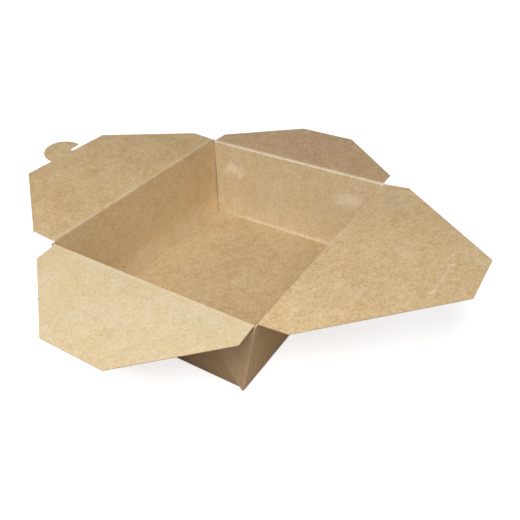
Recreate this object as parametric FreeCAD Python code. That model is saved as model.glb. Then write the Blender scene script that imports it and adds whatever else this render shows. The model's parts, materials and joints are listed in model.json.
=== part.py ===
import FreeCAD, Part
import math
import os

Vector = FreeCAD.Vector

# A takeaway box folded from one sheet of board. Millimetres, +Z up, origin in the middle under the base.
# The slot flap is on the -Y side, the tongue flap on the +Y side and an end flap at each end of X.
# Lengths and widths of the base and mouth are taken at the middle of the board.

# Box body
board = 0.45
height = 56.0
mouth_length = 174.0
mouth_width = 138.0
base_length = 160.0
base_width = 120.0
inner_crease_radius = 0.2

# Corner webs, folded double against the outside of the end walls
web_gap = 0.2
web_drop = 3.5
corner_gap_base = 0.15
corner_gap_rim = 1.0
corner_fold_radius = 0.35
ply_overlap = 0.05

# Lid flaps: how they stand in the open box, and how far they fold down outside it
tongue_flap_angle = 4.0
slot_flap_angle = 5.0
left_flap_angle = -6.0
right_flap_angle = -1.0
long_flap_fold_down = 40.0
end_flap_fold_down = 60.0
layer_gap = 0.25
hinge_gap = 0.1
corner_inset = 1.0
root_overlap = 0.6
outline_radius = 0.9

# Score line pressed into each flap's inside, beside its crease
score_place = 1.5
score_width = 0.8
score_depth = 0.12

# Flap outlines, measured out from the crease
long_flap_shoulder = 17.2
end_flap_shoulder = 15.0
tongue_flap_depth = 71.0
tongue_flap_end_width = 77.0
slot_flap_depth = 84.0
slot_flap_end_width = 39.0
end_flap_depth = 60.0
end_flap_end_width = 41.6

# Tongue: a rounded lug whose right side is cut free of the flap by a notch
tongue_reach = 19.0
tongue_crown = 3.0
tongue_hook_radius = 13.0
tongue_tip_height = 3.8
tongue_notch_height = 2.6
tongue_neck_right = 5.0

# Slit that takes the tongue: straight, with a hook towards the crease at one end and a tail at the other
slit_width = 0.2
slit_depth_place = 66.0
slit_start = -4.8
slit_bend = 20.5
slit_hook_radius = 5.0
slit_hook_turn = 60.0
slit_tail_length = 3.5
slit_tail_turn = 39.0


def slope(mouth, base):
    """Lean of a wall: how far it moves out for each millimetre up."""
    return (mouth - base) / 2 / height


end_slope = slope(mouth_length, base_length)
long_slope = slope(mouth_width, base_width)
layer_pitch = board + layer_gap
ply_pitch = board + web_gap
end_hinge_height = height
slot_hinge_height = height + layer_pitch
tongue_hinge_height = height + 2 * layer_pitch


def wall_middle(base, lean_slope, z):
    """Distance from the box's middle plane to the middle of a wall at height z."""
    return base / 2 + lean_slope * z


def half_board(lean_slope):
    """Half of a leaning wall's thickness, measured level."""
    return board / 2 * math.hypot(1, lean_slope)


def crease_drop(fold_down):
    """How far the outside of a wall's top edge lies below the hinge, so that a flap can fold down."""
    angle = math.radians(fold_down)
    return (board / 2 * (1 + math.sin(angle)) + 2 * hinge_gap) / math.cos(angle)


def prism(points, direction):
    """Solid made by moving a flat outline along a direction."""
    return Part.Face(Part.makePolygon(points + points[:1])).extrude(direction)


def wall_top(hinge_height, fold_down):
    """Heights of the inner and outer edge of a wall's bevelled top."""
    return hinge_height - board / 2 - hinge_gap, hinge_height - crease_drop(fold_down)


def section(base, lean_slope, tops):
    """Folded section of the base and two walls, as points across and up; tops is (inner, outer) per side."""
    inner = half_board(lean_slope)
    outline = []
    for side, (top_in, top_out) in zip((-1, 1), tops):
        half = [
            (side * (wall_middle(base, lean_slope, 0) + inner), 0),
            (side * (wall_middle(base, lean_slope, top_out) + inner), top_out),
            (side * (wall_middle(base, lean_slope, top_in) - inner), top_in),
            (side * (wall_middle(base, lean_slope, board) - inner), board),
        ]
        outline += half if side < 0 else half[::-1]
    return outline


def round_creases(channel, base, lean_slope, across, along):
    """Round the board at the two creases of a channel, inside and outside the fold."""
    inside = wall_middle(base, lean_slope, board) - half_board(lean_slope)
    outside = wall_middle(base, lean_slope, 0) + half_board(lean_slope)
    for place, z, radius in ((inside, board, inner_crease_radius), (outside, 0, inner_crease_radius + board)):
        edges = [
            edge for edge in channel.Edges
            if abs(edge.CenterOfMass.z - z) < 1e-3
            and abs(abs(edge.CenterOfMass.dot(across)) - place) < 1e-3
            and abs(edge.CenterOfMass.dot(along)) < 1e-3
        ]
        channel = channel.makeFillet(radius, edges)
    return channel


def web_top():
    return height - web_drop


def corner_half_width(z):
    """Half the width between the long walls' inner faces at height z, less the gap at the corners."""
    gap = corner_gap_base + (corner_gap_rim - corner_gap_base) * z / height
    return wall_middle(base_width, long_slope, z) - half_board(long_slope) - gap


def fold_radius():
    """Radius outside the double fold of two plies."""
    return board + web_gap / 2


def end_channel():
    """Base and the two end walls, whose side edges stop short of the long walls."""
    top = wall_top(end_hinge_height, end_flap_fold_down)
    reach = mouth_width / 2
    points = [Vector(x, -reach, z) for x, z in section(base_length, end_slope, (top, top))]
    channel = prism(points, Vector(0, 2 * reach, 0))
    channel = round_creases(channel, base_length, end_slope, Vector(1, 0, 0), Vector(0, 1, 0))
    step = fold_radius()
    side = [
        (corner_half_width(0) - step, 0),
        (corner_half_width(web_top()) - step, web_top()),
        (corner_half_width(web_top()), web_top()),
        (corner_half_width(height), height),
    ]
    outline = [(-y, z) for y, z in side] + side[::-1]
    keeper = prism([Vector(-mouth_length, y, z) for y, z in outline], Vector(2 * mouth_length, 0, 0))
    return channel.common(keeper)


def end_prism(offset_low, offset_high, half_width):
    """Space beyond an end wall's middle, between two level offsets, both ends at once."""
    low = wall_middle(base_length, end_slope, 0)
    high = wall_middle(base_length, end_slope, 2 * height)
    solids = []
    for side in (-1, 1):
        outline = [
            (side * (low + offset_low), 0),
            (side * (low + offset_high), 0),
            (side * (high + offset_high), 2 * height),
            (side * (high + offset_low), 2 * height),
        ]
        points = [Vector(x, -half_width, z) for x, z in outline]
        solids.append(prism(points, Vector(0, 2 * half_width, 0)))
    return solids


def web_outside():
    """Level distance from an end wall's middle to the outer face of its outer ply."""
    return (board / 2 + 2 * ply_pitch) * math.hypot(1, end_slope)


def corner_folds(channel):
    """The four outer edges where a long wall folds round into a web."""
    end_place = wall_middle(base_length, end_slope, 0) + web_outside()
    long_place = wall_middle(base_width, long_slope, 0) + half_board(long_slope)
    folds = []
    for edge in channel.Edges:
        ends = [vertex.Point for vertex in edge.Vertexes]
        on_end = [abs(abs(point.x) - end_place - end_slope * point.z) < 1e-3 for point in ends]
        on_long = [abs(abs(point.y) - long_place - long_slope * point.z) < 1e-3 for point in ends]
        if edge.Length > height / 2 and all(on_end + on_long):
            folds.append(edge)
    return folds


def long_channel():
    """Base and the two long walls, which run past the end walls to the outer plies of the webs."""
    tops = [
        wall_top(slot_hinge_height, long_flap_fold_down),
        wall_top(tongue_hinge_height, long_flap_fold_down),
    ]
    reach = mouth_length
    points = [Vector(-reach, y, z) for y, z in section(base_width, long_slope, tops)]
    channel = prism(points, Vector(2 * reach, 0, 0))
    channel = round_creases(channel, base_width, long_slope, Vector(0, 1, 0), Vector(1, 0, 0))
    for solid in end_prism(web_outside(), 2 * reach, mouth_length):
        channel = channel.cut(solid)
    channel = channel.makeFillet(corner_fold_radius, corner_folds(channel))
    # Between the long walls, this base stops short of the rounded creases of the end walls
    inner = half_board(long_slope)
    bottom = wall_middle(base_width, long_slope, 0) - inner
    top = wall_middle(base_width, long_slope, height) - inner
    between = [(-bottom, 0), (bottom, 0), (top, height), (-top, height)]
    hollow = prism([Vector(-2 * reach, y, z) for y, z in between], Vector(4 * reach, 0, 0))
    base_end = half_board(end_slope) + inner_crease_radius + ply_overlap
    for solid in end_prism(-base_end, 2 * reach, mouth_length):
        channel = channel.cut(solid.common(hollow))
    return channel


def fold_bar(start, end, inward, radius, straight):
    """Round edge of folded board between two points: a half round with a flat stretch behind it."""
    run = end.sub(start)
    across = run.cross(inward)
    across.normalize()
    across.multiply(radius)
    back = Vector(inward)
    back.normalize()
    tip = start.sub(Vector(back).multiply(radius))
    flat = Vector(back).multiply(straight)
    low = start.sub(across)
    high = start.add(across)
    edges = [
        Part.Arc(low, tip, high).toShape(),
        Part.makeLine(high, high.add(flat)),
        Part.makeLine(high.add(flat), low.add(flat)),
        Part.makeLine(low.add(flat), low),
    ]
    return Part.Face(Part.Wire(edges)).extrude(run)


def web_angle():
    """Angle of the folded web's diagonal crease from the wall's line straight up, in the end wall's plane."""
    end_slant = height * math.hypot(1, end_slope)
    long_slant = height * math.hypot(1, long_slope)
    end_flare = math.atan((mouth_width - base_width) / 2 / end_slant)
    long_flare = math.atan((mouth_length - base_length) / 2 / long_slant)
    web = math.pi / 2 - end_flare - long_flare
    return web / 2 - end_flare


def web():
    """One corner web in the end wall's own plane: x out along the wall, y up it, z out of it."""
    slant = math.hypot(1, end_slope)
    top = web_top() * slant
    radius = fold_radius()
    corner_low = Vector(corner_half_width(0) - radius, 0, 0)
    corner_high = Vector(corner_half_width(web_top()) - radius, top, 0)
    diagonal_high = Vector(corner_low.x - math.tan(web_angle()) * top, top, 0)
    outer_low = Vector(wall_middle(base_width, long_slope, 0) - board / 2 + ply_overlap, 0, 0)
    outer_high = Vector(wall_middle(base_width, long_slope, web_top()) - board / 2 + ply_overlap, top, 0)
    level = [-board / 2 + count * ply_pitch for count in range(3)]
    rise = Vector(0, 0, board)
    inner_points = (corner_low, corner_high, diagonal_high)
    inner_ply = prism([point.add(Vector(0, 0, level[1])) for point in inner_points], rise)
    outer_points = (corner_low, outer_low, outer_high, diagonal_high)
    outer_ply = prism([point.add(Vector(0, 0, level[2])) for point in outer_points], rise)
    middle = [Vector(0, 0, (count + 0.5) * ply_pitch) for count in range(2)]
    diagonal = diagonal_high.sub(corner_low)
    diagonal_inward = Vector(diagonal.y, -diagonal.x, 0)
    edge = corner_high.sub(corner_low)
    edge_inward = Vector(-edge.y, edge.x, 0)
    corner_fold = fold_bar(corner_low.add(middle[0]), corner_high.add(middle[0]), edge_inward, radius, board)
    diagonal_fold = fold_bar(
        corner_low.add(middle[1]), diagonal_high.add(middle[1]), diagonal_inward, radius, board
    )
    return inner_ply.fuse([outer_ply, corner_fold, diagonal_fold])


def webs():
    """The four corner webs in place."""
    web_local = web()
    up = Vector(end_slope, 0, 1)
    up.normalize()
    out = Vector(1, 0, -end_slope)
    out.normalize()
    matrix = FreeCAD.Matrix(
        0, up.x, out.x, base_length / 2,
        1, up.y, out.y, 0,
        0, up.z, out.z, 0,
        0, 0, 0, 1,
    )
    right_back = web_local.transformed(matrix)
    shapes = [right_back, right_back.mirror(Vector(0, 0, 0), Vector(0, 1, 0))]
    shapes += [shape.mirror(Vector(0, 0, 0), Vector(1, 0, 0)) for shape in shapes]
    return shapes


def tray():
    """Base, four walls and four folded corner webs, all one sheet."""
    body = long_channel().fuse(end_channel()).fuse(webs())
    room = Part.makeBox(2 * mouth_length, 2 * mouth_width, 2 * height, Vector(-mouth_length, -mouth_width, 0))
    return body.common(room).removeSplitter()


def rounded_outline(points, radii):
    """Closed outline through points, each corner rounded when its radius isn't zero."""
    edges = []
    joints = []
    count = len(points)
    for index, (point, radius) in enumerate(zip(points, radii)):
        to_last = points[index - 1].sub(point).normalize()
        to_next = points[(index + 1) % count].sub(point).normalize()
        turn = to_last.getAngle(to_next)
        cut = radius / math.tan(turn / 2)
        start = point.add(Vector(to_last).multiply(cut))
        end = point.add(Vector(to_next).multiply(cut))
        if radius:
            towards = to_last.add(to_next).normalize()
            crown = point.add(towards.multiply(radius / math.sin(turn / 2) - radius))
            edges.append(Part.Arc(start, crown, end).toShape())
        joints.append((start, end))
    for index in range(count):
        edges.append(Part.makeLine(joints[index][1], joints[(index + 1) % count][0]))
    return Part.Wire(Part.__sortEdges__(edges))


def plate(wire):
    """Board of the given outline, its middle on the outline's plane."""
    solid = Part.Face(wire).extrude(Vector(0, 0, board))
    solid.translate(Vector(0, 0, -board / 2))
    return solid


def flap_blank(root_width, shoulder, depth, end_width):
    """Flap with square shoulders and slanting sides, lying level with its crease on X, its end towards +Y."""
    root = root_width / 2 - corner_inset
    radius = board / 2
    points = [
        Vector(-root, radius, 0), Vector(-root, shoulder, 0), Vector(-end_width / 2, depth, 0),
        Vector(end_width / 2, depth, 0), Vector(root, shoulder, 0), Vector(root, radius, 0),
    ]
    corners = [0, outline_radius, outline_radius, outline_radius, outline_radius, 0]
    bar = fold_bar(Vector(-root, 0, 0), Vector(root, 0, 0), Vector(0, 1, 0), radius, root_overlap)
    blank = plate(rounded_outline(points, corners)).fuse(bar).removeSplitter()
    return blank.cut(score_line(root_width))


def score_line(length):
    """Groove with a bevelled section along a flap's crease, cut into its inner face."""
    section_points = [
        Vector(-length, score_place - score_width, board / 2 + score_depth),
        Vector(-length, score_place, board / 2 - score_depth),
        Vector(-length, score_place + score_width, board / 2 + score_depth),
    ]
    return prism(section_points, Vector(2 * length, 0, 0))


def tongue():
    """Lug at the tongue flap's end: a wide quarter round on the left, a pointed hook on the right."""
    root = tongue_flap_depth
    top = root + tongue_reach
    left = tongue_crown - tongue_reach
    right = tongue_crown + tongue_hook_radius
    notch = tongue_notch_height
    bend = math.sqrt(0.5)
    hook_middle = top - tongue_hook_radius
    neck = tongue_neck_right + notch / 2
    inside = root - root_overlap
    left_crown = Vector(tongue_crown - bend * tongue_reach, root + bend * tongue_reach, 0)
    right_crown = Vector(tongue_crown + bend * tongue_hook_radius, hook_middle + bend * tongue_hook_radius, 0)
    tip = Vector(right, root + tongue_tip_height, 0)
    notch_top = Vector(neck, root + notch, 0)
    notch_end = Vector(tongue_neck_right, root + notch / 2, 0)
    edges = [
        Part.Arc(Vector(left, root, 0), left_crown, Vector(tongue_crown, top, 0)).toShape(),
        Part.Arc(Vector(tongue_crown, top, 0), right_crown, Vector(right, hook_middle, 0)).toShape(),
        Part.makeLine(Vector(right, hook_middle, 0), tip),
        Part.makeLine(tip, notch_top),
        Part.Arc(notch_top, notch_end, Vector(neck, root, 0)).toShape(),
        Part.makeLine(Vector(neck, root, 0), Vector(neck, inside, 0)),
        Part.makeLine(Vector(neck, inside, 0), Vector(left, inside, 0)),
        Part.makeLine(Vector(left, inside, 0), Vector(left, root, 0)),
    ]
    return plate(Part.Wire(edges))


def slit():
    """Narrow cut through the slot flap, hooked towards the crease at one end, turned out at the other."""
    low = slit_depth_place - slit_width / 2
    high = slit_depth_place + slit_width / 2
    centre = Vector(slit_bend, slit_depth_place - slit_hook_radius, 0)

    def on_hook(radius, turn):
        angle = math.radians(90 - turn)
        return centre.add(Vector(radius * math.cos(angle), radius * math.sin(angle), 0))

    inner = slit_hook_radius - slit_width / 2
    outer = slit_hook_radius + slit_width / 2
    turn = slit_hook_turn
    edges = [
        Part.makeLine(Vector(slit_bend, low, 0), Vector(slit_start, low, 0)),
        Part.makeLine(Vector(slit_start, low, 0), Vector(slit_start, high, 0)),
        Part.makeLine(Vector(slit_start, high, 0), Vector(slit_bend, high, 0)),
        Part.Arc(on_hook(outer, 0), on_hook(outer, turn / 2), on_hook(outer, turn)).toShape(),
        Part.makeLine(on_hook(outer, turn), on_hook(inner, turn)),
        Part.Arc(on_hook(inner, turn), on_hook(inner, turn / 2), on_hook(inner, 0)).toShape(),
    ]
    depth = Vector(0, 0, 2 * board)
    cut = Part.Face(Part.Wire(edges)).extrude(depth)
    tail = Part.makeBox(slit_tail_length, slit_width, depth.z, Vector(-slit_tail_length, -slit_width / 2, 0))
    tail.rotate(Vector(0, 0, 0), Vector(0, 0, 1), -slit_tail_turn)
    tail.translate(Vector(slit_start, slit_depth_place, 0))
    cut = cut.fuse(tail)
    cut.translate(Vector(0, 0, -board))
    return cut


def placed(shape, angle, heading, hinge):
    """Flap tilted about its crease, turned to its side of the box and set on its hinge line."""
    shape = shape.copy()
    shape.rotate(Vector(0, 0, 0), Vector(1, 0, 0), angle)
    shape.rotate(Vector(0, 0, 0), Vector(0, 0, 1), heading)
    shape.translate(hinge)
    return shape


def tongue_flap():
    blank = flap_blank(mouth_length, long_flap_shoulder, tongue_flap_depth, tongue_flap_end_width)
    hinge = Vector(0, wall_middle(base_width, long_slope, tongue_hinge_height), tongue_hinge_height)
    return placed(blank.fuse(tongue()).removeSplitter(), tongue_flap_angle, 0, hinge)


def slot_flap():
    blank = flap_blank(mouth_length, long_flap_shoulder, slot_flap_depth, slot_flap_end_width)
    hinge = Vector(0, -wall_middle(base_width, long_slope, slot_hinge_height), slot_hinge_height)
    return placed(blank.cut(slit()), slot_flap_angle, 180, hinge)


def end_flap(side, angle):
    blank = flap_blank(mouth_width, end_flap_shoulder, end_flap_depth, end_flap_end_width)
    hinge = Vector(side * wall_middle(base_length, end_slope, end_hinge_height), 0, end_hinge_height)
    return placed(blank, angle, -90 * side, hinge)


def main():
    pieces = {
        "tray": tray(),
        "tongue_flap": tongue_flap(),
        "slot_flap": slot_flap(),
        "left_end_flap": end_flap(-1, left_flap_angle),
        "right_end_flap": end_flap(1, right_flap_angle),
    }
    os.makedirs("parts", exist_ok=True)
    for name, shape in pieces.items():
        shape.exportStep(f"parts/{name}.step")


main()
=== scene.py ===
# Takeaway box: kraft board for the folded tray and its four lid flaps, with a plain studio round it.
import json
import math
from functools import partial

import bmesh
import bpy
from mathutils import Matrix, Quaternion, Vector


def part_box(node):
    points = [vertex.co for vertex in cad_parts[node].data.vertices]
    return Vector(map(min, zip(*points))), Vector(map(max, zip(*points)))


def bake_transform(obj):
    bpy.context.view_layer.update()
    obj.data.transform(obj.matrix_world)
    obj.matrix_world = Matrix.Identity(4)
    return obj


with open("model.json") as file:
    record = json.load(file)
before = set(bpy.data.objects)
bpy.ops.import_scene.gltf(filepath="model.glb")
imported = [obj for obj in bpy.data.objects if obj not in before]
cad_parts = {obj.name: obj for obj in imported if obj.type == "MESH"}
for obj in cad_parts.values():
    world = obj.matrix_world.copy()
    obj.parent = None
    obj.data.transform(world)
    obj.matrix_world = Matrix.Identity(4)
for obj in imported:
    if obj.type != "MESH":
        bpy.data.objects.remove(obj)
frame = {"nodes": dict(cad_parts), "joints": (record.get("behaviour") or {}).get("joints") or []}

bl_info = {
    "name": "Takeaway Box",
    "version": (1, 0, 0),
    "blender": (4, 5, 0),
    "location": "View3D > Sidebar > Takeaway Box",
    "description": "Folded kraft board takeaway box with open lid flaps",
    "category": "Object",
}

MM = 0.001
UP = Vector((0, 0, 1))

# The folded sheet: its thickness, and the middle of its walls at the base and at the rim, as half lengths
# on X and Y
THICKNESS = 0.45 * MM
BASE_HALF = (80 * MM, 60 * MM)
HINGES = {joint["child"]: joint for joint in frame["joints"]}
RIM_HEIGHT = HINGES["left_end_flap"]["pos_m"][2]
RIM_HALF = (87 * MM, 69 * MM)
WALL_LEAN = tuple((rim - base) / RIM_HEIGHT for rim, base in zip(RIM_HALF, BASE_HALF))

# Lines on the tray's creases, rubbed pale and with a painted highlight, strengths and sizes: round the base,
# up the corners and along the end walls' tops
BASE_LINE = 0.3
CORNER_LINE = 0.5
CORNER_LINE_WIDTH = 1.6 * MM
CORNER_LINE_HEIGHT = (22 * MM, 52 * MM)
RIM_LINE = 0.8
RIM_BAND = (0.45 * MM, 1.0 * MM)

# Pale spots that the glue left on the end walls, as places and sizes across and up
GLUE_SPOT = (48 * MM, 38 * MM)
GLUE_SPOT_SIZE = (14 * MM, 7 * MM)
GLUE_SPOT_SLANT = 0.22
GLUE_SPOT_FADE = (0.1, 1.0)
GLUE_SPOT_STRENGTH = 0.48
GLUE_PATCH_SIZE = 4 * MM
GLUE_PATCHINESS = 1.1

# The ragged band at the end walls' foot that is worn pale, and the paler foot of the long walls, which is
# painted bounce light
WORN_BAND = (0.8 * MM, 4.5 * MM)
WORN_BAND_HALF = (30 * MM, 58 * MM)
WORN_BAND_STRENGTH = 0.6
RAGGED_SIZE = 9 * MM
RAGGED_SWING = 9 * MM
LONG_FOOT_PAINTED_BOUNCE = (1 * MM, 22 * MM)
LONG_FOOT_PAINTED_BOUNCE_STRENGTH = 0.36

# Outside, the corner webs' diagonal folds: half width between them at the base, and how far they draw in
# per metre up
WEB_FOLD = (59.3 * MM, 0.529)
FOLD_WIDTH = 0.8 * MM
# The fold line is rubbed pale with a painted highlight, and the webs get a painted sheen
FOLD_LINE = 0.4
WEB_PAINTED_SHEEN = 0.2
WEB_REACH = (2.5 * MM, 3.5 * MM)

# Outside, the edges where the long walls turn into the webs, and the long walls beside them
CORNER_EDGE = (1.54 * MM, 0.23 * MM)
EDGE_WIDTH = 1.8 * MM
# The edge line is rubbed pale with a painted highlight, and the long walls beside the edges get painted light
EDGE_LINE = 0.32
BESIDE_REACH = (2 * MM, 18 * MM)
BESIDE_PAINTED_LIGHT = 0.12

# How light the tray's floor, end walls and long walls are, and how much lighter the walls are low down:
# painted light and shade on one board, with painted bounce light low on the walls and painted shade on the
# floor by the slot flap
FLOOR_PAINTED_LIGHT = 0.89
END_WALL_PAINTED_LIGHT = (1.0, 0.12)
LONG_WALL_PAINTED_LIGHT = (1.08, 0.16)
LOW_WALL_PAINTED_BOUNCE = (2 * MM, 26 * MM)
# Painted sheen: the end walls' inner face made paler and bluer
END_WALL_PAINTED_SHEEN = (0.91, 0.98, 1.1)
# Painted shade on the tray's floor towards the slot flap: where it starts and ends across the box, and how
# much darker it gets
SLOT_SIDE_PAINTED_SHADE = (-62 * MM, -20 * MM)
SLOT_SIDE_PAINTED_SHADE_STRENGTH = 0.13

# How strong the board's grain is on the tray's floor and on its walls
FLOOR_GRAIN = 0.95
WALL_GRAIN = 0.7

# The skin of the board round the outside of a flap's crease: its two radii, where its lip meets the wall,
# the angles of the lip's two sides, how far short of the flap's underside it ends, and how pale it is, rubbed
# and painted light against the gap's shade
SKIN_RADII = (0.262 * MM, 0.302 * MM)
SKIN_LIP = 0.405 * MM
SKIN_START = (math.radians(-134), math.radians(-128))
SKIN_END = math.radians(-62)
SKIN_STEPS = 12
SKIN_INSET = 1.1 * MM
SKIN_RUB_AND_LIGHT = 0.8

# How strongly each flap's crease is rubbed pale and carries a painted highlight, the painted light and shade
# that tints each flap's sheet against the tray's, and its grain
CREASE_WEAR_AND_HIGHLIGHT = {"tongue_flap": 0.35, "slot_flap": 0.12, "left_end_flap": 0.12, "right_end_flap": 1.15}
FLAP_PAINTED_LIGHT_AND_SHADE = {
    "tongue_flap": (0.82, 0.81, 0.78),
    "slot_flap": (0.895, 0.90, 0.90),
    "left_end_flap": (0.91, 1.01, 1.15),
    "right_end_flap": (0.76, 0.705, 0.70),
}
FLAP_GRAIN = {"tongue_flap": 1.05, "slot_flap": 1.0, "left_end_flap": 0.6, "right_end_flap": 1.35}

# The score line beside a flap's crease, rubbed pale and with a painted highlight
SCORE_PLACE = 1.5 * MM
SCORE_LINE = 0.7

# The slit in its flap, measured along the crease and out from it, and how rubbed its parts are
SLIT_FLAP = "slot_flap"
SLIT_PLACE = 66 * MM
SLIT_START = -4.8 * MM
SLIT_BEND = 20.5 * MM
SLIT_RADIUS = 5 * MM
SLIT_TURN = math.radians(60)
SLIT_TAIL = 3.5 * MM
SLIT_TAIL_TURN = math.radians(39)
SLIT_RUB = 0.8 * MM
SLIT_SOFT = 0.3 * MM
SLIT_STRAIGHT_LINE = 0.3
SLIT_END_LINE = 0.8

# The board's unevenness: how much each kind of noise adds to it, and the size of some as shares of a setting
CLOUD_PART = 0.24
PATCH_PART = 0.22
BLOTCH_PART = 0.3
FIBRE_PART = 0.9
PATCH_SHARE = 0.3
DRIFT_SHARE = 0.5
SPOT_SHARE = 1.6

# How far each channel follows the board's unevenness, so that what is darker is also redder
UNEVEN_TINT = (0.8, 1.0, 1.4)

# The two hues that the board drifts between, as factors on its colour, and how far the drift goes
WARM = (1.025, 0.995, 0.94, 1.0)
COOL = (0.975, 1.005, 1.06, 1.0)
HUE_DRIFT = 1.6
BLOTCH_DRIFT = 0.6

# Dark flecks, how patchy the pale marks are (rubbed board and painted highlights, sheen and bounce light
# alike), and the board's gloss and relief
FLECK_FADE = (-0.31, -0.25)
FLECK_STRENGTH = 0.55
PALE_MARK_LEVEL = 0.8
PALE_MARK_PATCHINESS = 0.8
SPECULAR_LEVEL = 0.25
BUMP_STRENGTH = 0.3
BUMP_DEPTH = 0.05 * MM

# The studio floor: its size, how far it lies below the box, its colour to the eye and in what it throws back,
# and the darker stretch under the box
FLOOR_HALF = 6.0
FLOOR_DROP = 0.2 * MM
FLOOR_SEEN = (0.8, 0.8, 0.8, 1)
FLOOR_THROWN = (0.3, 0.29, 0.28, 1)
FLOOR_SHADE = (0.17, 0.38)
FLOOR_SHADE_STRENGTH = 0.3

# Soft lamps, each with its place and the length of its side, and the point they are aimed at
LAMP_TARGET = Vector((0, 0, 30 * MM))
LAMPS = {
    "left": ((-0.38, -0.10, 0.42), 0.35),
    "front": ((-0.10, -0.75, 0.55), 0.6),
    "top": ((-0.35, 0.0, 0.60), 0.5),
}

# The camera: the point it is aimed at, its turn about that point, and where the lens's axis meets the image
CAMERA_TARGET = Vector((-50.7, -12.8, 30.0)) * MM
CAMERA_AZIMUTH = math.radians(-55.42)
CAMERA_ELEVATION = math.radians(37.74)
CAMERA_ROLL = math.radians(-1.28)
CAMERA_AXIS = (203.0, 292.4)
IMAGE_SIZE = 520
SENSOR_WIDTH = 36.0


class BoxBoardSettings(bpy.types.PropertyGroup):
    """Colours and grain of the kraft board."""

    inner_colour: bpy.props.FloatVectorProperty(
        name="Inside", description="Colour of the board's inner face", subtype="COLOR",
        size=3, min=0, max=1, default=(0.55, 0.393, 0.210),
    )
    outer_colour: bpy.props.FloatVectorProperty(
        name="Outside", description="Colour of the board's outer face", subtype="COLOR",
        size=3, min=0, max=1, default=(0.55, 0.35, 0.18),
    )
    # Colour of rubbed creases and glue spots, and also of the painted highlights, sheen and bounce light
    rubbed_and_highlight_colour: bpy.props.FloatVectorProperty(
        name="Rubbed", description="Colour of rubbed creases and of glue spots", subtype="COLOR",
        size=3, min=0, max=1, default=(0.80, 0.70, 0.53),
    )
    fleck_colour: bpy.props.FloatVectorProperty(
        name="Fleck", description="Colour of the sparse dark flecks", subtype="COLOR",
        size=3, min=0, max=1, default=(0.34, 0.2, 0.085),
    )
    unevenness: bpy.props.FloatProperty(
        name="Unevenness", description="How far the board's tone varies", default=1.3, min=0, max=4,
    )
    cloud_size: bpy.props.FloatProperty(
        name="Cloud Size", description="Size of the soft clouds in the board", subtype="DISTANCE",
        default=0.022, min=0.002, max=0.1,
    )
    blotch_size: bpy.props.FloatProperty(
        name="Blotch Size", description="Size of the blotches of pulp", subtype="DISTANCE",
        default=0.0026, min=0.0005, max=0.02,
    )
    fibre_size: bpy.props.FloatProperty(
        name="Fibre Size", description="Size of the fine fibres", subtype="DISTANCE",
        default=0.0008, min=0.0002, max=0.01,
    )
    crease_width: bpy.props.FloatProperty(
        name="Crease Width", description="Half width of the rubbed line on a crease", subtype="DISTANCE",
        default=0.00052, min=0.0001, max=0.005,
    )
    inner_roughness: bpy.props.FloatProperty(
        name="Inner Roughness", description="Roughness of the smoother inner face", default=0.5, min=0, max=1,
    )
    outer_roughness: bpy.props.FloatProperty(
        name="Outer Roughness", description="Roughness of the duller outer face", default=0.9, min=0, max=1,
    )


class BoxStageSettings(bpy.types.PropertyGroup):
    """Studio lamps and camera."""

    left_power: bpy.props.FloatProperty(
        name="Left Lamp", description="Power of the small soft lamp at the left end", subtype="POWER",
        default=1.2, min=0, max=200,
    )
    front_power: bpy.props.FloatProperty(
        name="Front Lamp", description="Power of the broad lamp in front", subtype="POWER",
        default=1.9, min=0, max=200,
    )
    top_power: bpy.props.FloatProperty(
        name="Top Lamp", description="Power of the main lamp over the left end", subtype="POWER",
        default=4.45, min=0, max=200,
    )
    focal_length: bpy.props.FloatProperty(
        name="Focal Length", description="Focal length of the lens, in millimetres",
        default=41.52, min=10, max=200,
    )
    camera_distance: bpy.props.FloatProperty(
        name="Camera Distance", description="Distance from the camera to the point it is aimed at",
        subtype="DISTANCE", default=0.3583, min=0.1, max=5,
    )


def link(tree, source, target):
    """Link an output to an input."""
    tree.links.new(source, target)


def node(tree, kind, **values):
    """New shader node with its plain attributes set."""
    made = tree.nodes.new(kind)
    for key, value in values.items():
        setattr(made, key, value)
    return made


def feed(tree, socket, value):
    """Link a socket or set a constant on an input."""
    if hasattr(value, "is_linked"):
        link(tree, value, socket)
    else:
        socket.default_value = value


def maths(tree, operation, first, second=0.0, third=0.0, clamp=False):
    """Result of a Math node on sockets or constants."""
    made = node(tree, "ShaderNodeMath", operation=operation, use_clamp=clamp)
    for socket, value in zip(made.inputs, (first, second, third)):
        feed(tree, socket, value)
    return made.outputs[0]


def product(tree, *factors):
    """All the factors multiplied together."""
    result = factors[0]
    for factor in factors[1:]:
        result = maths(tree, "MULTIPLY", result, factor)
    return result


def largest(tree, *values):
    """The largest of the values."""
    result = values[0]
    for value in values[1:]:
        result = maths(tree, "MAXIMUM", result, value)
    return result


def fade(tree, value, start, end):
    """Smooth step: 1 where value is below start, 0 where it is above end."""
    made = node(tree, "ShaderNodeMapRange", interpolation_type="SMOOTHSTEP")
    feed(tree, made.inputs["Value"], value)
    feed(tree, made.inputs["From Min"], start)
    feed(tree, made.inputs["From Max"], end)
    feed(tree, made.inputs["To Min"], 1.0)
    feed(tree, made.inputs["To Max"], 0.0)
    return made.outputs["Result"]


def rest(tree, value):
    """What is left of 1."""
    return maths(tree, "SUBTRACT", 1.0, value)


def line(tree, value, width):
    """1 on the line where value is nought, fading out over width."""
    return fade(tree, maths(tree, "ABSOLUTE", value), width * 0.3, width)


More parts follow.
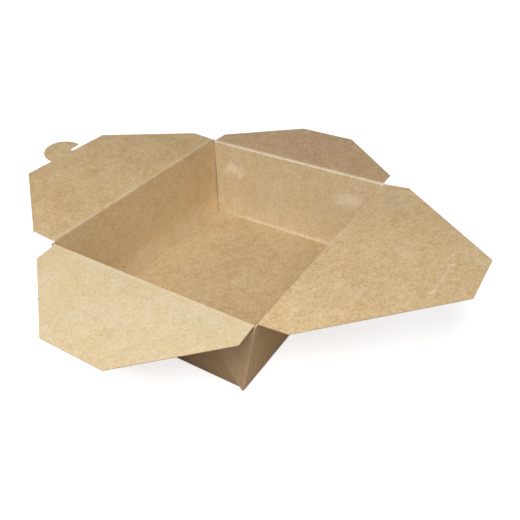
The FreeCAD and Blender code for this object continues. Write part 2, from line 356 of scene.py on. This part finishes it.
def noise(tree, place, size, detail=2.0, roughness=0.5, stretch=(1, 1, 1)):
    """Noise about its middle, -0.5 to 0.5, whose blobs are about size metres across."""
    mapping = node(tree, "ShaderNodeMapping")
    mapping.inputs["Scale"].default_value = stretch
    link(tree, place, mapping.inputs["Vector"])
    made = node(tree, "ShaderNodeTexNoise")
    link(tree, mapping.outputs["Vector"], made.inputs["Vector"])
    made.inputs["Scale"].default_value = 0.5 / size
    made.inputs["Detail"].default_value = detail
    made.inputs["Roughness"].default_value = roughness
    return maths(tree, "SUBTRACT", made.outputs["Fac"], 0.5)


def blend(tree, amount, first, second, mode="MIX"):
    """Colour between two colours, or the two combined in another mode."""
    made = node(tree, "ShaderNodeMix", data_type="RGBA", blend_type=mode)
    feed(tree, made.inputs[0], amount)
    feed(tree, made.inputs[6], first)
    feed(tree, made.inputs[7], second)
    return made.outputs[2]


def rgba(colour, tint=(1, 1, 1)):
    """Colour with alpha, each channel multiplied by the tint's."""
    return (*(channel * factor for channel, factor in zip(colour, tint)), 1.0)


def shade(tree, colour, factor):
    """Colour multiplied by a factor."""
    made = node(tree, "ShaderNodeVectorMath", operation="SCALE")
    feed(tree, made.inputs[0], colour)
    feed(tree, made.inputs["Scale"], factor)
    return made.outputs[0]


def distance(tree, place, start, direction):
    """Distance of a point from a starting point, measured along a direction."""
    made = node(tree, "ShaderNodeVectorMath", operation="DOT_PRODUCT")
    link(tree, place, made.inputs[0])
    made.inputs[1].default_value = direction
    return maths(tree, "SUBTRACT", made.outputs["Value"], start.dot(direction))


class TrayMarks:
    """Where the tray's inner faces, its creases rubbed pale with a painted highlight, glue spots, worn band
    and its painted light, shade, sheen and bounce light are.
    """

    def __init__(self, tree, place, width):
        axes = node(tree, "ShaderNodeSeparateXYZ")
        link(tree, place, axes.inputs[0])
        height = axes.outputs["Z"]
        outward = [maths(tree, "ABSOLUTE", axes.outputs[axis]) for axis in "XY"]
        beyond = [
            maths(tree, "SUBTRACT", out, maths(tree, "MULTIPLY_ADD", height, lean, half))
            for out, lean, half in zip(outward, WALL_LEAN, BASE_HALF)
        ]
        edge = THICKNESS / 4
        within = fade(tree, largest(tree, *beyond), -edge, edge)
        over = rest(tree, fade(tree, height, THICKNESS / 2 - edge, THICKNESS / 2 + edge))
        self.inside = product(tree, within, over)
        self.end = fade(tree, maths(tree, "ABSOLUTE", beyond[0]), THICKNESS, 2 * THICKNESS)
        self.wall = rest(tree, fade(tree, height, THICKNESS, 2.5 * THICKNESS))
        # Crease lines: rubbed pale board with a painted highlight
        self.rubbed = self.creases(tree, height, beyond, width)
        worn = product(tree, self.end, self.worn(tree, place, height, outward))
        # Painted bounce light: the long walls paler low down
        painted_bounce = product(tree, rest(tree, self.end), self.wall, fade(tree, height, *LONG_FOOT_PAINTED_BOUNCE), LONG_FOOT_PAINTED_BOUNCE_STRENGTH)
        # Outside: fold and edge lines rubbed pale with a painted highlight, painted sheen on the webs,
        # painted light on the long walls by the ends
        outside_folds_and_painted_light = product(tree, rest(tree, self.inside), self.outside_folds_and_painted_light(tree, height, outward, beyond))
        # Pale marks: the worn band and glue spots, painted bounce light, and outside the rubbed folds with
        # painted highlights, sheen and light
        self.pale = largest(tree, product(tree, self.inside, largest(tree, worn, painted_bounce)), outside_folds_and_painted_light)
        # Painted light and shade: the floor and walls made lighter or darker by how light falls on them
        self.light = self.painted_light_and_shade(tree, height, axes.outputs["Y"])
        self.grain = maths(tree, "MULTIPLY_ADD", self.wall, WALL_GRAIN - FLOOR_GRAIN, FLOOR_GRAIN)

    def painted_light_and_shade(self, tree, height, across):
        """Painted light and shade: how light the floor and walls are, the walls lighter low down with painted
        bounce light, the floor darker at the slot flap with painted shade.
        """
        low = fade(tree, height, *LOW_WALL_PAINTED_BOUNCE)
        level, lift = (
            maths(tree, "MULTIPLY_ADD", self.end, end - side, side)
            for end, side in zip(END_WALL_PAINTED_LIGHT, LONG_WALL_PAINTED_LIGHT)
        )
        wall = maths(tree, "MULTIPLY_ADD", low, lift, level)
        painted_shade = fade(tree, across, *SLOT_SIDE_PAINTED_SHADE)
        floor = maths(tree, "MULTIPLY_ADD", painted_shade, -SLOT_SIDE_PAINTED_SHADE_STRENGTH, FLOOR_PAINTED_LIGHT)
        rise = maths(tree, "SUBTRACT", wall, floor)
        return maths(tree, "MULTIPLY_ADD", self.wall, rise, floor)

    def creases(self, tree, height, beyond, width):
        """Lines round the base, up the corners and along the end walls' tops, rubbed pale and with a painted
        highlight.
        """
        near = [line(tree, value, width) for value in beyond]
        low = product(tree, largest(tree, *near), fade(tree, height, 0.5 * width, 2 * width))
        corner = [line(tree, value, CORNER_LINE_WIDTH) for value in beyond]
        corner = product(tree, *corner, rest(tree, fade(tree, height, *CORNER_LINE_HEIGHT)), CORNER_LINE)
        rim = fade(tree, maths(tree, "SUBTRACT", RIM_HEIGHT, height), *RIM_BAND)
        return largest(tree, product(tree, low, BASE_LINE), corner, product(tree, self.end, rim, RIM_LINE))

    def outside_folds_and_painted_light(self, tree, height, outward, beyond):
        """Outside: painted sheen on the webs, their diagonal folds and the corner edges rubbed pale with a
        painted highlight, and painted light on the long walls beside them.
        """
        near_end = maths(tree, "ABSOLUTE", beyond[0])
        half, draw_in = WEB_FOLD
        fold = maths(tree, "MULTIPLY_ADD", height, draw_in, maths(tree, "SUBTRACT", outward[1], half))
        web = largest(
            tree,
            product(tree, line(tree, fold, FOLD_WIDTH), FOLD_LINE),
            product(tree, rest(tree, fade(tree, fold, 0.0, FOLD_WIDTH)), WEB_PAINTED_SHEEN),
        )
        web = product(tree, web, fade(tree, near_end, *WEB_REACH))
        edge = [
            line(tree, maths(tree, "SUBTRACT", value, place), EDGE_WIDTH)
            for value, place in zip(beyond, CORNER_EDGE)
        ]
        beside = product(tree, fade(tree, near_end, *BESIDE_REACH), BESIDE_PAINTED_LIGHT)
        return largest(tree, web, product(tree, *edge, EDGE_LINE), beside)

    def worn(self, tree, place, height, outward):
        """Glue spots on the end walls, and the band at their foot that is worn pale, most in its middle."""
        across, rise = (
            maths(tree, "DIVIDE", maths(tree, "SUBTRACT", value, middle), size)
            for value, middle, size in zip((outward[1], height), GLUE_SPOT, GLUE_SPOT_SIZE)
        )
        rise = maths(tree, "MULTIPLY_ADD", across, -GLUE_SPOT_SLANT, rise)
        away = maths(tree, "SQRT", maths(tree, "MULTIPLY_ADD", across, across, product(tree, rise, rise)))
        patchy = noise(tree, place, GLUE_PATCH_SIZE)
        away = maths(tree, "MULTIPLY_ADD", patchy, GLUE_PATCHINESS, away)
        spot = product(tree, fade(tree, away, *GLUE_SPOT_FADE), GLUE_SPOT_STRENGTH)
        ragged = noise(tree, place, RAGGED_SIZE, detail=3, roughness=0.6, stretch=(1, 1, 0.3))
        top = maths(tree, "MULTIPLY_ADD", ragged, RAGGED_SWING, WORN_BAND[1])
        band = fade(tree, maths(tree, "SUBTRACT", height, top), WORN_BAND[0] - WORN_BAND[1], 0.0)
        band = product(tree, band, fade(tree, outward[1], *WORN_BAND_HALF), WORN_BAND_STRENGTH)
        return largest(tree, spot, band)


class FlapMarks:
    """Where a lid flap's inner face, its crease and score lines, rubbed pale and with a painted highlight,
    and the rubbed lines of its slit are.
    """

    def __init__(self, tree, place, width, name):
        joint = HINGES[name]
        hinge = Vector(joint["pos_m"])
        along = Vector(joint["axis"])
        low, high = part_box(name)
        out = (low + high) / 2 - hinge
        out = (out - along * out.dot(along)).normalized()
        up = along.cross(out)
        if up.z < 0:
            up.negate()
        edge = THICKNESS / 4
        self.inside = rest(tree, fade(tree, distance(tree, place, hinge, up), -edge, edge))
        reach = distance(tree, place, hinge, out)
        score = line(tree, maths(tree, "SUBTRACT", reach, SCORE_PLACE), width)
        lines = largest(tree, line(tree, reach, width), product(tree, score, SCORE_LINE))
        # The crease and score lines: rubbed pale board with a painted highlight
        self.rubbed = product(tree, lines, CREASE_WEAR_AND_HIGHLIGHT[name])
        self.pale = 0.0
        if name == SLIT_FLAP:
            self.pale = self.beside_slit(tree, distance(tree, place, hinge, out.cross(up)), reach)
        self.light = 1.0
        self.end = 0.0
        self.grain = FLAP_GRAIN[name]

    def beside_slit(self, tree, across, reach):
        """Board rubbed along the slit: straight, with a hook at one end and a tail at the other."""
        after = maths(tree, "SUBTRACT", across, SLIT_START)
        beyond = maths(tree, "SUBTRACT", across, SLIT_BEND)
        above = maths(tree, "SUBTRACT", reach, SLIT_PLACE)
        straight = product(
            tree, line(tree, above, SLIT_RUB),
            rest(tree, fade(tree, after, -SLIT_SOFT, 0.0)), fade(tree, beyond, 0.0, SLIT_SOFT),
        )
        from_middle = maths(tree, "ADD", above, SLIT_RADIUS)
        turned = product(tree, from_middle, from_middle)
        radius = maths(tree, "SQRT", maths(tree, "MULTIPLY_ADD", beyond, beyond, turned))
        end = SLIT_RADIUS * math.cos(SLIT_TURN)
        hook = product(
            tree, line(tree, maths(tree, "SUBTRACT", radius, SLIT_RADIUS), SLIT_RUB),
            rest(tree, fade(tree, beyond, -SLIT_SOFT, 0.0)),
            rest(tree, fade(tree, from_middle, end - SLIT_SOFT, end)),
        )
        cosine, sine = math.cos(SLIT_TAIL_TURN), math.sin(SLIT_TAIL_TURN)
        along = maths(tree, "MULTIPLY_ADD", after, -cosine, maths(tree, "MULTIPLY", above, sine))
        aside = maths(tree, "MULTIPLY_ADD", after, sine, maths(tree, "MULTIPLY", above, cosine))
        tail = product(
            tree, line(tree, aside, SLIT_RUB), rest(tree, fade(tree, along, -SLIT_SOFT, 0.0)),
            fade(tree, along, SLIT_TAIL, SLIT_TAIL + SLIT_SOFT),
        )
        ends = product(tree, largest(tree, hook, tail), SLIT_END_LINE)
        return largest(tree, product(tree, straight, SLIT_STRAIGHT_LINE), ends)


class SkinMarks:
    """The skin round a crease: outer face all over, rubbed pale and made lighter with painted light where it
    lies in the gap's shade.
    """

    def __init__(self, tree, place, width):
        self.inside = self.pale = self.end = 0.0
        # Rubbed pale, and made lighter with painted light against the shade in the gap
        self.rubbed = SKIN_RUB_AND_LIGHT
        self.light = self.grain = 1.0


def kraft_board(name, find_marks, tint=(1, 1, 1)):
    """Kraft board: clouds, blotches, fibres and flecks, tinted with painted light, shade and sheen, paler
    where rubbed and with painted highlights and bounce light, redder and duller outside.
    """
    board = bpy.context.scene.box_board
    material = bpy.data.materials.new(name)
    material.use_nodes = True
    tree = material.node_tree
    shader = tree.nodes["Principled BSDF"]
    place = node(tree, "ShaderNodeTexCoord").outputs["Object"]
    marks = find_marks(tree, place, board.crease_width)

    clouds = noise(tree, place, board.cloud_size)
    blotches = noise(tree, place, board.blotch_size, roughness=0.6)
    fibres = noise(tree, place, board.fibre_size, detail=3, roughness=0.7)
    spots = noise(tree, place, SPOT_SHARE * board.fibre_size, detail=1, stretch=(1, 0.6, 1))
    patches = noise(tree, place, PATCH_SHARE * board.cloud_size, detail=3, stretch=(1, 1.4, 1))
    drift = noise(tree, place, DRIFT_SHARE * board.cloud_size, detail=3)
    drift = maths(tree, "MULTIPLY_ADD", blotches, BLOTCH_DRIFT, drift)
    uneven = 0.0
    parts = ((clouds, CLOUD_PART), (patches, PATCH_PART), (blotches, BLOTCH_PART), (fibres, FIBRE_PART))
    for layer, part in parts:
        uneven = maths(tree, "MULTIPLY_ADD", layer, part, uneven)
    uneven = product(tree, uneven, board.unevenness, marks.grain)
    tone = node(tree, "ShaderNodeVectorMath", operation="ADD")
    link(tree, shade(tree, UNEVEN_TINT, uneven), tone.inputs[0])
    tone.inputs[1].default_value = (1, 1, 1)

    # The end walls' inner face takes its painted sheen tint, each flap its tint of painted light and shade
    inner = blend(tree, marks.end, rgba(board.inner_colour, tint), rgba(board.inner_colour, END_WALL_PAINTED_SHEEN))
    colour = blend(tree, marks.inside, rgba(board.outer_colour), inner)
    # Multiplied by the tray's painted light and shade
    colour = blend(tree, 1.0, colour, shade(tree, tone.outputs[0], marks.light), "MULTIPLY")
    hue = maths(tree, "MULTIPLY_ADD", drift, HUE_DRIFT, 0.5, clamp=True)
    colour = blend(tree, 1.0, colour, blend(tree, hue, WARM, COOL), "MULTIPLY")
    fleck = product(tree, fade(tree, spots, *FLECK_FADE), FLECK_STRENGTH)
    colour = blend(tree, fleck, colour, rgba(board.fleck_colour))
    patchy = maths(tree, "MULTIPLY_ADD", blotches, PALE_MARK_PATCHINESS, PALE_MARK_LEVEL)
    # Pale marks: rubbed and worn board and glue spots, and painted highlights, sheen and bounce light
    rubbed = product(tree, largest(tree, marks.rubbed, marks.pale), patchy)
    colour = blend(tree, rubbed, colour, rgba(board.rubbed_and_highlight_colour))
    link(tree, colour, shader.inputs["Base Color"])

    if hasattr(marks.inside, "is_linked"):
        smoother = board.inner_roughness - board.outer_roughness
        roughness = maths(tree, "MULTIPLY_ADD", marks.inside, smoother, board.outer_roughness)
        link(tree, roughness, shader.inputs["Roughness"])
    else:
        shader.inputs["Roughness"].default_value = board.outer_roughness
    shader.inputs["Specular IOR Level"].default_value = SPECULAR_LEVEL
    bump = node(tree, "ShaderNodeBump")
    bump.inputs["Strength"].default_value = BUMP_STRENGTH
    bump.inputs["Distance"].default_value = BUMP_DEPTH
    link(tree, maths(tree, "ADD", blotches, fibres), bump.inputs["Height"])
    link(tree, bump.outputs["Normal"], shader.inputs["Normal"])
    return material


def dress(name, material):
    """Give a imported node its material."""
    piece = frame["nodes"][name]
    piece.data.materials.clear()
    piece.data.materials.append(material)


class BOX_OT_tray(bpy.types.Operator):
    """Finish the folded tray: base, walls and double corner webs."""

    bl_idname = "box.tray"
    bl_label = "Folded Tray"

    def execute(self, context):
        dress("tray", kraft_board("kraft_tray", TrayMarks))
        return {"FINISHED"}


class BOX_OT_lid_flaps(bpy.types.Operator):
    """Finish the four lid flaps."""

    bl_idname = "box.lid_flaps"
    bl_label = "Lid Flaps"

    def execute(self, context):
        # Each flap's tint is painted light and shade: a paler, bluer painted sheen on the left end flap,
        # painted shade on the other three
        for name, tint in FLAP_PAINTED_LIGHT_AND_SHADE.items():
            dress(name, kraft_board(f"kraft_{name}", partial(FlapMarks, name=name), tint))
        return {"FINISHED"}


def skin_section(end):
    """Closed section of a crease's skin up to an end angle, as distances out and up from the hinge."""
    polar = [(SKIN_LIP, start) for start in SKIN_START]
    for radius, start, steps in zip(reversed(SKIN_RADII), reversed(SKIN_START), (1, -1)):
        arc = [(radius, start + (end - start) * step / SKIN_STEPS) for step in range(SKIN_STEPS + 1)]
        polar += arc[::steps]
    return [(radius * math.cos(angle), radius * math.sin(angle)) for radius, angle in polar]


def crease_skin(name, material):
    """Skin of the board from a wall's top round the outside of the crease to the flap's underside."""
    joint = HINGES[name]
    hinge = Vector(joint["pos_m"])
    outward = Vector((hinge.x, hinge.y, 0)).normalized()
    along = outward.cross(UP)
    low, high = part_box(name)
    middle = (low + high) / 2 - hinge
    end = math.atan2(middle.z, middle.dot(outward)) + SKIN_END
    half = (RIM_HALF[1] if outward.x else RIM_HALF[0]) - SKIN_INSET
    work = bmesh.new()
    rings = [
        [work.verts.new(hinge + along * reach + outward * out + UP * up) for out, up in skin_section(end)]
        for reach in (-half, half)
    ]
    corners = list(zip(*rings))
    for (first, over_first), (second, over_second) in zip(corners, corners[1:] + corners[:1]):
        work.faces.new((first, second, over_second, over_first))
    for ring in rings:
        work.faces.new(ring)
    bmesh.ops.recalc_face_normals(work, faces=work.faces)
    mesh = bpy.data.meshes.new(f"{name}_crease")
    work.to_mesh(mesh)
    work.free()
    mesh.materials.append(material)
    piece = bpy.data.objects.new(f"{name}_crease", mesh)
    bpy.context.scene.collection.objects.link(piece)
    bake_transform(piece)


class BOX_OT_crease_skins(bpy.types.Operator):
    """Join each lid flap to its wall by the skin of the board round their crease."""

    bl_idname = "box.crease_skins"
    bl_label = "Crease Skins"

    def execute(self, context):
        material = kraft_board("kraft_crease", SkinMarks)
        for name in HINGES:
            crease_skin(name, material)
        return {"FINISHED"}


def soft_lamp(name, place, size, power):
    """Square soft lamp aimed at the box."""
    light = bpy.data.lights.new(name, "AREA")
    light.size = size
    light.energy = power
    lamp = bpy.data.objects.new(name, light)
    bpy.context.scene.collection.objects.link(lamp)
    lamp.location = place
    lamp.rotation_mode = "QUATERNION"
    lamp.rotation_quaternion = (LAMP_TARGET - Vector(place)).to_track_quat("-Z", "Y")


def seen_directly(tree):
    """1 for rays from the camera, straight, reflected or through glass, and 0 for light thrown back."""
    path = node(tree, "ShaderNodeLightPath")
    return largest(tree, *(path.outputs[f"Is {kind} Ray"] for kind in ("Camera", "Glossy", "Transmission")))


def floor_material():
    """Pale floor: white to the eye, and darker in what it throws back, so that undersides stay in shade."""
    material = bpy.data.materials.new("studio_floor")
    material.use_nodes = True
    tree = material.node_tree
    tree.nodes.clear()
    out = node(tree, "ShaderNodeOutputMaterial")
    seen = seen_directly(tree)
    matt = node(tree, "ShaderNodeBsdfDiffuse")
    link(tree, blend(tree, seen, FLOOR_THROWN, FLOOR_SEEN), matt.inputs["Color"])
    glow = node(tree, "ShaderNodeEmission")
    place = node(tree, "ShaderNodeTexCoord").outputs["Object"]
    away = node(tree, "ShaderNodeVectorMath", operation="LENGTH")
    link(tree, place, away.inputs[0])
    shaded = product(tree, fade(tree, away.outputs["Value"], *FLOOR_SHADE), FLOOR_SHADE_STRENGTH)
    link(tree, product(tree, seen, rest(tree, shaded)), glow.inputs["Strength"])
    both = node(tree, "ShaderNodeAddShader")
    link(tree, matt.outputs[0], both.inputs[0])
    link(tree, glow.outputs[0], both.inputs[1])
    link(tree, both.outputs[0], out.inputs["Surface"])
    return material


def studio_floor():
    """Level floor just below the box."""
    mesh = bpy.data.meshes.new("studio_floor")
    corners = [(FLOOR_HALF * x, FLOOR_HALF * y, 0) for x, y in ((-1, -1), (1, -1), (1, 1), (-1, 1))]
    mesh.from_pydata(corners, [], [(0, 1, 2, 3)])
    mesh.materials.append(floor_material())
    floor = bpy.data.objects.new("studio_floor", mesh)
    bpy.context.scene.collection.objects.link(floor)
    floor.location.z = -FLOOR_DROP


def room():
    """World that lights nothing and is white where the camera looks past the floor."""
    world = bpy.data.worlds.new("studio_room")
    bpy.context.scene.world = world
    world.use_nodes = True
    tree = world.node_tree
    background = tree.nodes["Background"]
    background.inputs["Color"].default_value = (1, 1, 1, 1)
    link(tree, seen_directly(tree), background.inputs["Strength"])


def studio_camera(stage):
    """Camera at the photograph's viewing angle."""
    level = math.cos(CAMERA_ELEVATION)
    back = Vector((
        math.sin(CAMERA_AZIMUTH) * level, -math.cos(CAMERA_AZIMUTH) * level, math.sin(CAMERA_ELEVATION)
    ))
    data = bpy.data.cameras.new("studio_camera")
    data.lens = stage.focal_length
    data.sensor_width = SENSOR_WIDTH
    data.shift_x = 0.5 - CAMERA_AXIS[0] / IMAGE_SIZE
    data.shift_y = CAMERA_AXIS[1] / IMAGE_SIZE - 0.5
    data.clip_start = 0.01
    camera = bpy.data.objects.new("studio_camera", data)
    bpy.context.scene.collection.objects.link(camera)
    camera.location = CAMERA_TARGET + back * stage.camera_distance
    camera.rotation_mode = "QUATERNION"
    camera.rotation_quaternion = (-back).to_track_quat("-Z", "Y") @ Quaternion((0, 0, 1), CAMERA_ROLL)
    bpy.context.scene.camera = camera


class BOX_OT_stage(bpy.types.Operator):
    """Set the floor, the lamps and the camera."""

    bl_idname = "box.stage"
    bl_label = "Studio Stage"

    def execute(self, context):
        stage = context.scene.box_stage
        studio_floor()
        for name, (place, size) in LAMPS.items():
            soft_lamp(f"{name}_lamp", place, size, getattr(stage, f"{name}_power"))
        room()
        studio_camera(stage)
        context.scene.view_settings.view_transform = "Standard"
        return {"FINISHED"}


class BOX_PT_sidebar(bpy.types.Panel):
    """Sidebar panel of the takeaway box."""

    bl_idname = "BOX_PT_sidebar"
    bl_label = "Takeaway Box"
    bl_space_type = "VIEW_3D"
    bl_region_type = "UI"
    bl_category = "Takeaway Box"

    def draw(self, context):
        layout = self.layout
        for settings in (context.scene.box_board, context.scene.box_stage):
            for name in settings.__annotations__:
                layout.prop(settings, name)
        for operator in OPERATORS:
            layout.operator(operator.bl_idname)


SETTINGS = (BoxBoardSettings, BoxStageSettings)
OPERATORS = (BOX_OT_tray, BOX_OT_lid_flaps, BOX_OT_crease_skins, BOX_OT_stage)
CLASSES = SETTINGS + OPERATORS + (BOX_PT_sidebar,)


def register():
    for one in CLASSES:
        bpy.utils.register_class(one)
    bpy.types.Scene.box_board = bpy.props.PointerProperty(type=BoxBoardSettings)
    bpy.types.Scene.box_stage = bpy.props.PointerProperty(type=BoxStageSettings)


def unregister():
    del bpy.types.Scene.box_stage
    del bpy.types.Scene.box_board
    for one in reversed(CLASSES):
        bpy.utils.unregister_class(one)


def main():
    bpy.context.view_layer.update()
    register()
    bpy.ops.box.tray()
    bpy.ops.box.lid_flaps()
    bpy.ops.box.crease_skins()
    bpy.ops.box.stage()


if __name__ == "__main__":
    main()
